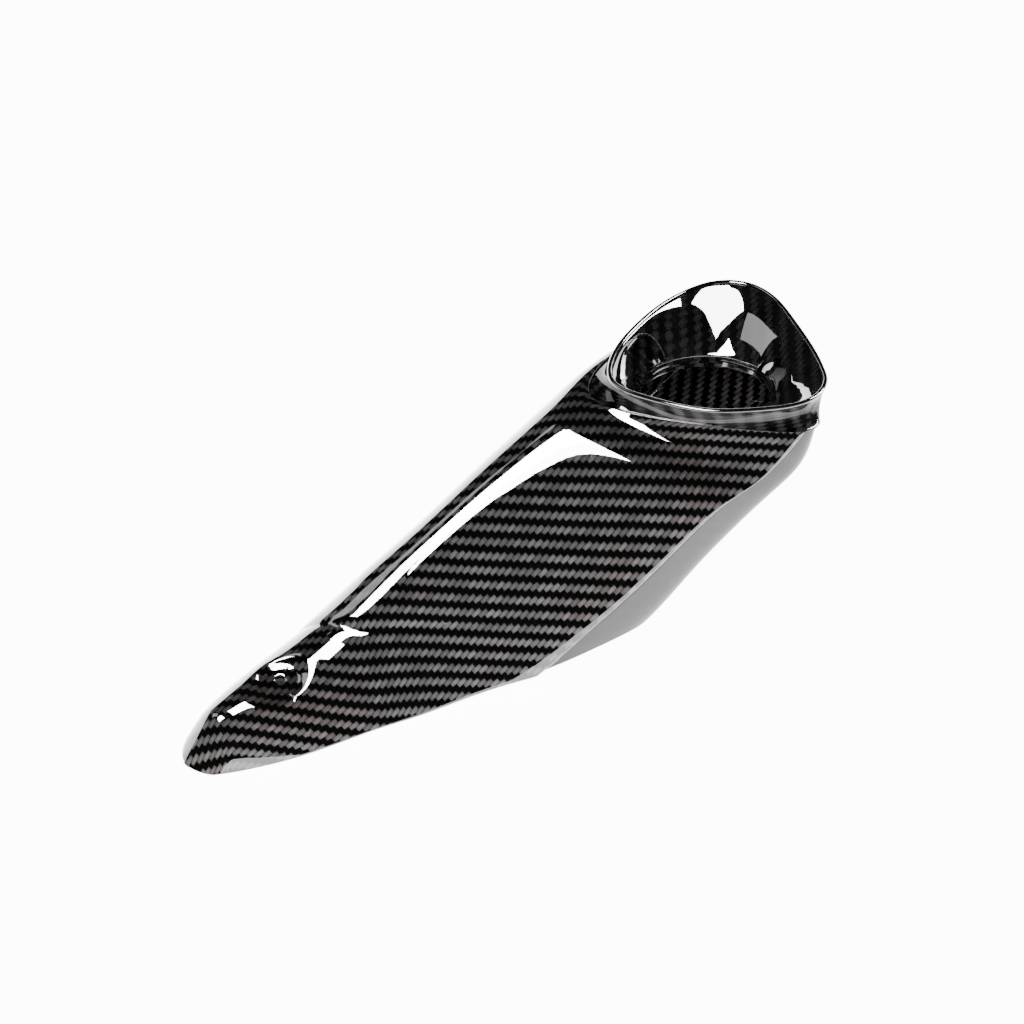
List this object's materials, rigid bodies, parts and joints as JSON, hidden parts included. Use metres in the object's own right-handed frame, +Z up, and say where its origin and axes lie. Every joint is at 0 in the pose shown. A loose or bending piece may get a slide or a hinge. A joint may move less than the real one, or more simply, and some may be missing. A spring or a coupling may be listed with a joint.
{
  "type": "exhaust muffler cover",
  "caption": "Hollow carbon-fibre motorcycle muffler cover with a pointed nose, an undercut heel and a flared outlet horn with an oval mouth.",
  "frame": {"origin": "middle of the overall box in plan, on the plane of the open edge that the cover rests on", "axes": "+X from the nose to the outlet, +Z up from the open edge, -Y the near side with the S-shaped edge"},
  "size_m": [0.3345, 0.1046, 0.0951],
  "materials": {
    "lacquered_carbon": "2x2 twill carbon fibre under clear gloss lacquer",
    "flank_carbon": "2x2 twill carbon fibre under thick, smooth gloss lacquer",
    "collar_carbon": "lacquered carbon fibre, slightly uneven hand-laid weave",
    "funnel_carbon": "2x2 twill carbon fibre under clear gloss lacquer, weave running down the funnel",
    "sleeve_carbon": "lacquered carbon fibre",
    "raw_carbon": "unlacquered carbon laminate, rough bag side",
    "foil_mat": "crinkled aluminium foil facing over a fibre mat",
    "stainless": "perforated stainless plate",
    "stud_steel": "turned stainless, threaded",
    "rubber": "moulded black rubber",
    "alloy_sleeve": "turned aluminium",
    "washer_steel": "zinc-plated washer",
    "nut_steel": "zinc-plated lock nut"
  },
  "bodies": {
    "root": {"outer_shell": "lacquered_carbon", "flank_shell": "flank_carbon", "outlet_collar": "collar_carbon", "outlet_funnel": "funnel_carbon", "throat_sleeve": "sleeve_carbon", "nose_doubler": "raw_carbon", "near_heat_liner": "foil_mat", "far_heat_liner": "foil_mat", "near_stud_plate": "stainless", "far_stud_plate": "stainless", "rear_studs": "stud_steel", "near_damper": "rubber", "far_damper": "rubber", "near_sleeve": "alloy_sleeve", "far_sleeve": "alloy_sleeve", "rear_washers": "washer_steel", "rear_nuts": "nut_steel"}
  },
  "joints": []
}
